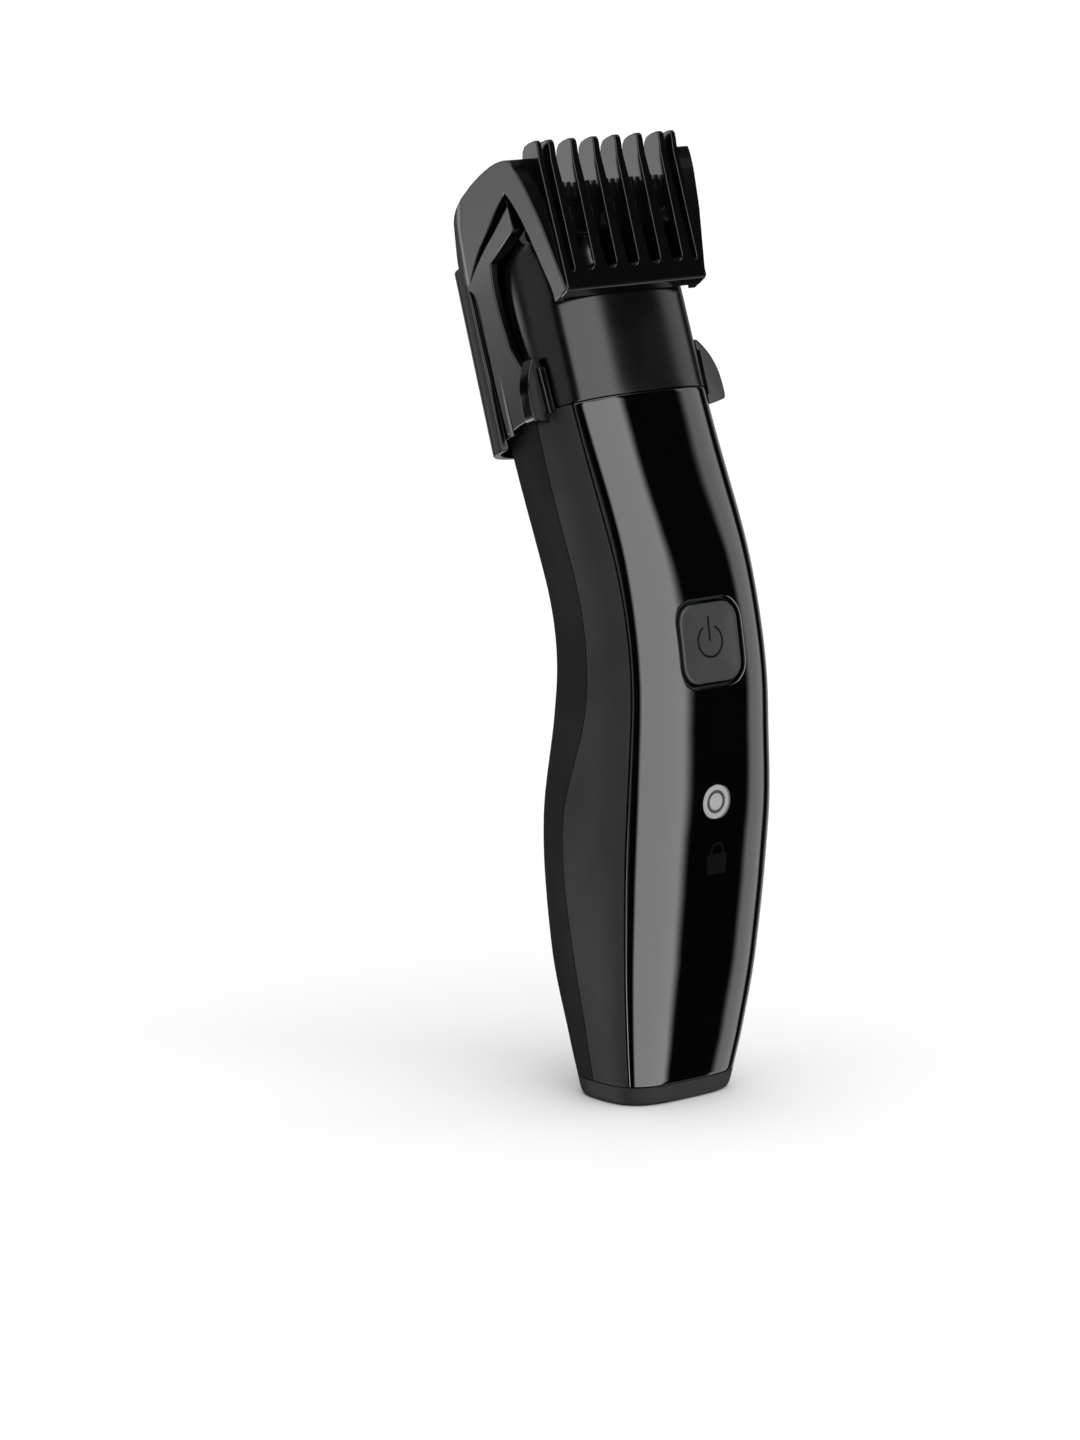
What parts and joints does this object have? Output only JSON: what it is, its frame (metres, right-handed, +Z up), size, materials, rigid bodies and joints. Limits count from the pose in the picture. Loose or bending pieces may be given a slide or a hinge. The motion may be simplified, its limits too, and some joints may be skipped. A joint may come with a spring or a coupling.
{
  "type": "beard trimmer",
  "caption": "Cordless beard trimmer: leaning handle with gloss front panel, power button and status light, clip-on cutter head and sliding toothed guide comb.",
  "frame": {"origin": "centre of the flat foot that the trimmer stands on", "axes": "+Z up along the handle; the gloss front with the button faces -Y; the head leans back to +Y; X is the width"},
  "size_m": [0.0494, 0.0614, 0.1844],
  "materials": {
    "satin_shell": "satin moulded black",
    "gloss_panel": "mirror gloss black",
    "inner_shell": "plain moulded black",
    "grip_rubber": "soft-touch matt black",
    "inner_plastic": "plain moulded dark grey",
    "brass": "turned",
    "steel": "zinc plated",
    "cell_wrap": "blue shrink sleeve",
    "nickel": "nickel plated",
    "board": "green solder mask",
    "chips": "moulded parts",
    "light": "frosted white",
    "keycap": "fine satin dark grey",
    "lead_wire": "red insulation",
    "white_plastic": "acetal",
    "copper": "wound armature",
    "head_satin": "satin moulded black",
    "blade_steel": "ground steel",
    "comb_gloss": "semi-gloss moulded black"
  },
  "bodies": {
    "handle": {"front_housing": "satin_shell", "front_panel": "gloss_panel", "rear_housing": "inner_shell", "back_grip": "grip_rubber", "bottom_cap": "satin_shell", "charging_socket": "inner_plastic", "socket_pin": "brass", "housing_screws": "steel", "battery_cell": "cell_wrap", "battery_tabs": "nickel", "battery_cradle": "inner_plastic", "main_board": "board", "board_parts": "chips", "status_led": "light", "light_pipe": "light", "light_mask": "gloss_panel", "light_ring": "light", "button_board": "board", "tact_switch": "chips", "motor_leads": "lead_wire", "motor_can": "nickel", "motor_end_cap": "white_plastic", "motor_bushes": "brass", "motor_screws": "steel", "neck_plate": "inner_plastic", "neck_gasket": "grip_rubber"},
    "plunger": {"switch_plunger": "light"},
    "button": {"power_button": "keycap"},
    "rotor": {"motor_armature": "copper", "motor_shaft": "steel", "drive_cam": "white_plastic"},
    "head": {"head_housing": "head_satin", "blade_carrier": "inner_plastic", "fixed_blade": "blade_steel", "blade_screws": "steel", "tension_spring": "steel"},
    "cutter": {"moving_blade": "blade_steel", "drive_yoke": "white_plastic"},
    "comb": {"guide_comb": "comb_gloss"}
  },
  "joints": [
    {"name": "motor_spin", "type": "hinge", "parent": "handle", "child": "rotor", "pos_m": [0, 0.01443, 0.13174], "axis": [0, 0.342, 0.9397], "continuous": true},
    {"name": "button_press", "type": "slide", "parent": "handle", "child": "button", "axis": [0, 0.9855, -0.1697], "range_m": [0, 0.0006], "stiffness_N_per_m": 800},
    {"name": "switch_travel", "type": "slide", "parent": "handle", "child": "plunger", "axis": [0, 0.9855, -0.1697], "range_m": [0, 0.0006]},
    {"name": "head_release", "type": "slide", "parent": "handle", "child": "head", "axis": [0, 0.342, 0.9397], "range_m": [0, 0.012]},
    {"name": "cutter_stroke", "type": "slide", "parent": "head", "child": "cutter", "axis": [1, 0, 0], "range_m": [-0.0008, 0.0008]},
    {"name": "comb_length", "type": "slide", "parent": "head", "child": "comb", "axis": [0, 0.342, 0.9397], "range_m": [0, 0.009]}
  ],
  "couplings": [
    {"joint": "switch_travel", "follows": "button_press", "ratio": 1}
  ]
}
